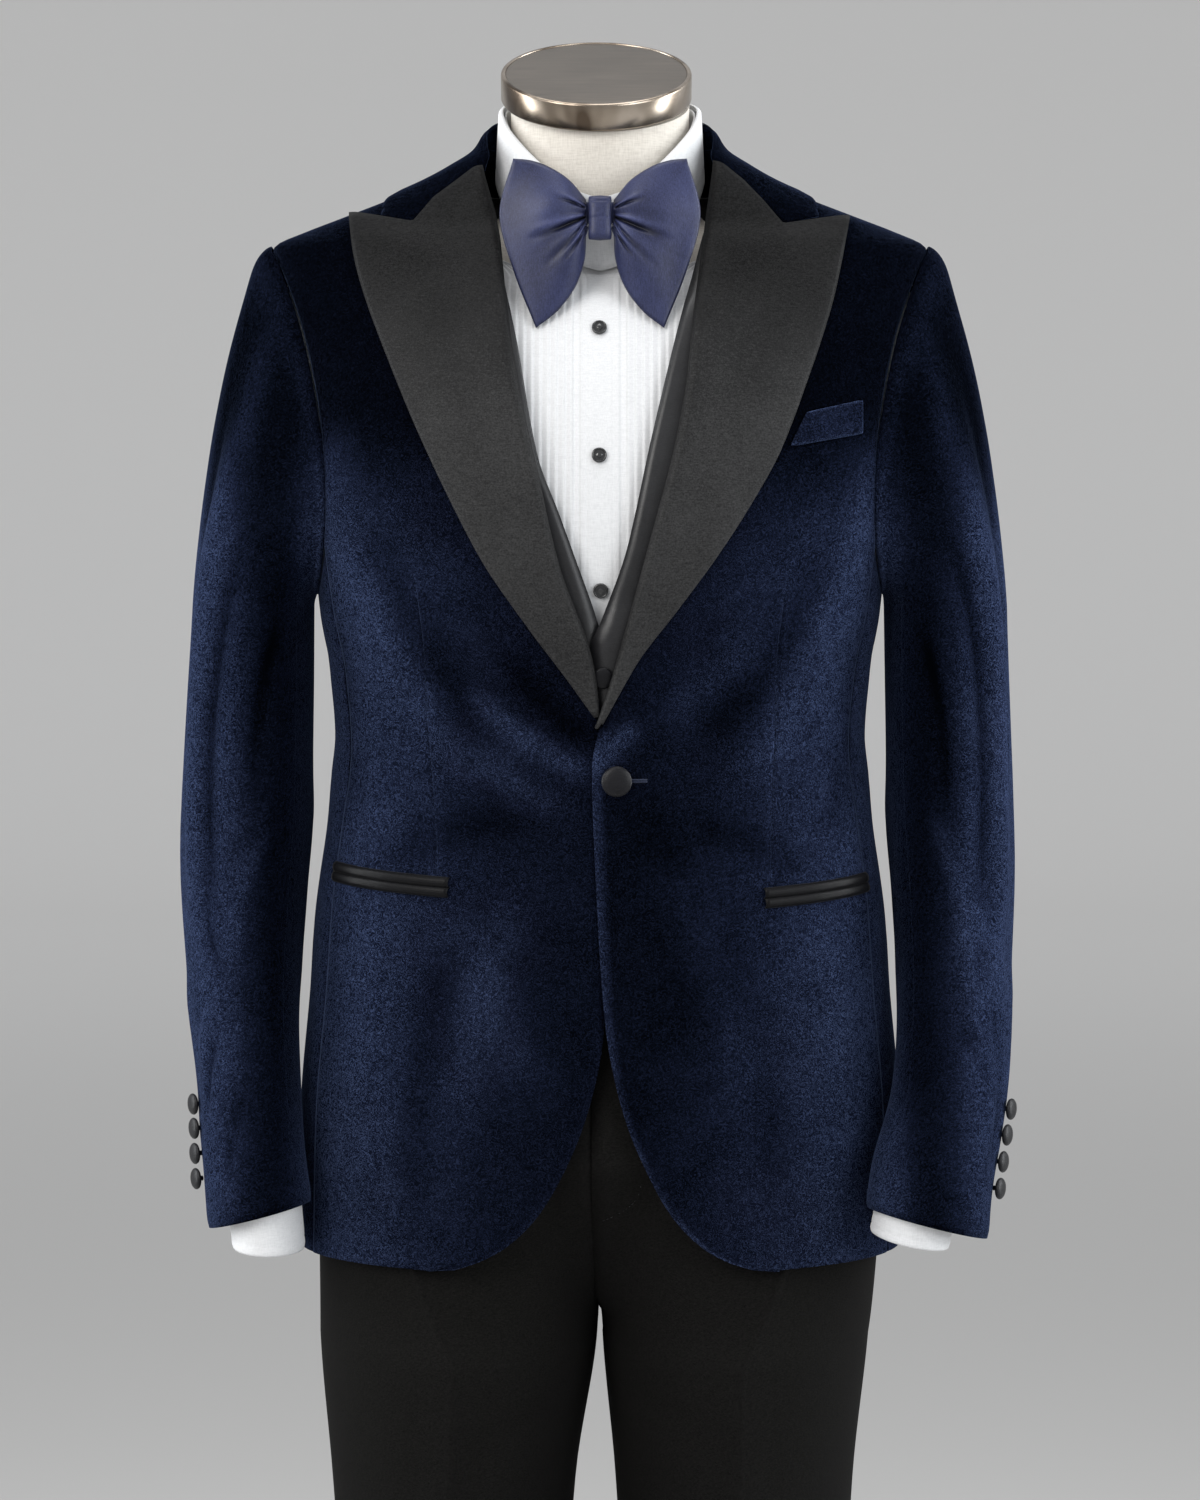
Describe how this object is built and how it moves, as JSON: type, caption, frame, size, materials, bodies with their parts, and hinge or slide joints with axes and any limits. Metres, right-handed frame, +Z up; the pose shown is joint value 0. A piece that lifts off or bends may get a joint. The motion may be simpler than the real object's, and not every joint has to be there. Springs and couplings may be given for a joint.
{
  "type": "dinner suit on a dress form with a stand",
  "caption": "Velvet dinner suit with satin peak lapels, waistcoat, pleated shirt, bow tie and trousers, on a dress form and stand.",
  "frame": {"origin": "centre of the underside of the stand's round base, on the floor", "axes": "+Z up; the wearer faces -Y; the wearer's left is +X"},
  "size_m": [0.5635, 0.38, 1.7015],
  "materials": {
    "velvet": "deep navy cotton velvet, short mottled nap",
    "lapel_satin": "charcoal satin facing with a fine grain",
    "waistcoat_satin": "black satin",
    "shirt_cotton": "white cotton, fine vertical tucks on the front",
    "stud_black": "black, polished",
    "bow_satin": "navy satin",
    "trouser_wool": "black wool, pressed creases",
    "linen": "natural linen, plain weave",
    "steel": "brushed top, polished rim",
    "stand_steel": "satin steel"
  },
  "bodies": {
    "root": {"bow_band": "bow_satin", "bow_knot": "bow_satin", "bow_wing_left": "bow_satin", "bow_wing_right": "bow_satin", "breast_pocket_welt": "velvet", "coat_back_left": "velvet", "coat_back_right": "velvet", "coat_button": "lapel_satin", "coat_collar": "velvet", "coat_front_left": "velvet", "coat_front_right": "velvet", "coat_side_left": "velvet", "coat_side_right": "velvet", "dress_form": "linen", "hip_pocket_left": "lapel_satin", "hip_pocket_right": "lapel_satin", "lapel_left": "lapel_satin", "lapel_right": "lapel_satin", "neck_cap": "steel", "shirt_back": "shirt_cotton", "shirt_collar_leaf": "shirt_cotton", "shirt_collar_stand": "shirt_cotton", "shirt_cuff_left": "shirt_cotton", "shirt_cuff_right": "shirt_cotton", "shirt_front": "shirt_cotton", "shirt_sleeve_lower_left": "shirt_cotton", "shirt_sleeve_lower_right": "shirt_cotton", "shirt_sleeve_upper_left": "shirt_cotton", "shirt_sleeve_upper_right": "shirt_cotton", "shirt_stud_1": "stud_black", "shirt_stud_2": "stud_black", "shirt_stud_3": "stud_black", "sleeve_button_left_1": "lapel_satin", "sleeve_button_left_2": "lapel_satin", "sleeve_button_left_3": "lapel_satin", "sleeve_button_left_4": "lapel_satin", "sleeve_button_right_1": "lapel_satin", "sleeve_button_right_2": "lapel_satin", "sleeve_button_right_3": "lapel_satin", "sleeve_button_right_4": "lapel_satin", "sleeve_top_left": "velvet", "sleeve_top_right": "velvet", "sleeve_under_left": "velvet", "sleeve_under_right": "velvet", "stand_base": "stand_steel", "stand_post_left": "stand_steel", "stand_post_right": "stand_steel", "trouser_back_left": "trouser_wool", "trouser_back_right": "trouser_wool", "trouser_front_left": "trouser_wool", "trouser_front_right": "trouser_wool", "waistband": "trouser_wool", "waistcoat_back": "waistcoat_satin", "waistcoat_button_1": "waistcoat_satin", "waistcoat_button_2": "waistcoat_satin", "waistcoat_button_3": "waistcoat_satin", "waistcoat_front_left": "waistcoat_satin", "waistcoat_front_right": "waistcoat_satin"}
  },
  "joints": []
}
